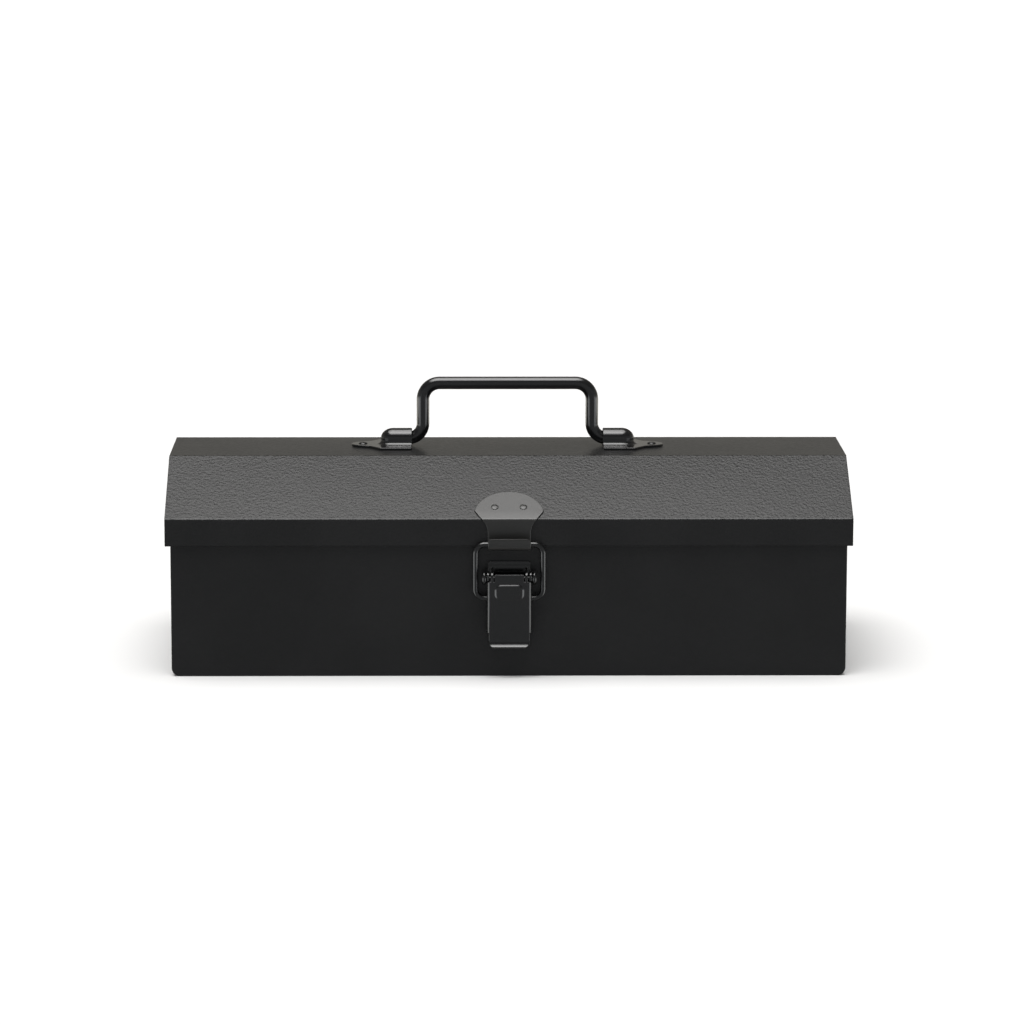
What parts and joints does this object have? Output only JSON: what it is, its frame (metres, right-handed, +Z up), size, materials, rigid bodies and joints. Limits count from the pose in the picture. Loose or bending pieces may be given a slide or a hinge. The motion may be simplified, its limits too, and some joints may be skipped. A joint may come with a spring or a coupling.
{
  "type": "steel toolbox",
  "caption": "Small sheet-steel toolbox with a camber-top lid on back hinges, a round-rod swing handle in pressed brackets and a wire draw latch on the front.",
  "frame": {"origin": "middle of the body's flat bottom face, on the floor", "axes": "+X to the right across the front, +Y from the front to the hinges at the back, +Z up"},
  "size_m": [0.3646, 0.1702, 0.1503],
  "materials": {
    "satin_black_paint": "satin powder coat with a fine leathery grain",
    "satin_black_metal": "smooth semi-gloss",
    "gloss_black": "smooth gloss",
    "bare_steel": "bright drawn"
  },
  "bodies": {
    "body": {"body_wrap": "satin_black_paint", "body_front": "satin_black_paint", "body_back": "satin_black_paint", "latch_base": "gloss_black", "latch_base_rivets": "gloss_black", "latch_pin": "gloss_black", "left_hinge_body_leaf": "gloss_black", "right_hinge_body_leaf": "gloss_black", "left_hinge_pin": "bare_steel", "right_hinge_pin": "bare_steel", "hinge_body_rivets": "gloss_black"},
    "lid": {"lid_shell": "satin_black_paint", "lid_left_end": "satin_black_paint", "lid_right_end": "satin_black_paint", "left_handle_bracket": "gloss_black", "right_handle_bracket": "gloss_black", "bracket_rivets": "gloss_black", "keeper_plate": "satin_black_metal", "keeper_rivets": "satin_black_metal", "left_hinge_lid_leaf": "gloss_black", "right_hinge_lid_leaf": "gloss_black", "hinge_lid_rivets": "gloss_black"},
    "handle": {"handle": "gloss_black"},
    "latch_lever": {"latch_lever": "gloss_black"},
    "latch_wire": {"latch_wire": "gloss_black"}
  },
  "joints": [
    {"name": "lid_hinge", "type": "hinge", "parent": "body", "child": "lid", "pos_m": [0, 0.0803, 0.0689], "axis": [-1, 0, 0], "range_deg": [0, 105]},
    {"name": "handle_swing", "type": "hinge", "parent": "lid", "child": "handle", "pos_m": [0, 0, 0.1165], "axis": [1, 0, 0], "range_deg": [-90, 90]},
    {"name": "lever_turn", "type": "hinge", "parent": "body", "child": "latch_lever", "pos_m": [0, -0.082, 0.0545], "axis": [-1, 0, 0], "range_deg": [0, 100]},
    {"name": "wire_turn", "type": "hinge", "parent": "latch_lever", "child": "latch_wire", "pos_m": [0, -0.08, 0.0432], "axis": [-1, 0, 0], "range_deg": [-75, 0]}
  ],
  "couplings": [
    {"joint": "wire_turn", "follows": "lever_turn", "ratio": -0.75}
  ]
}
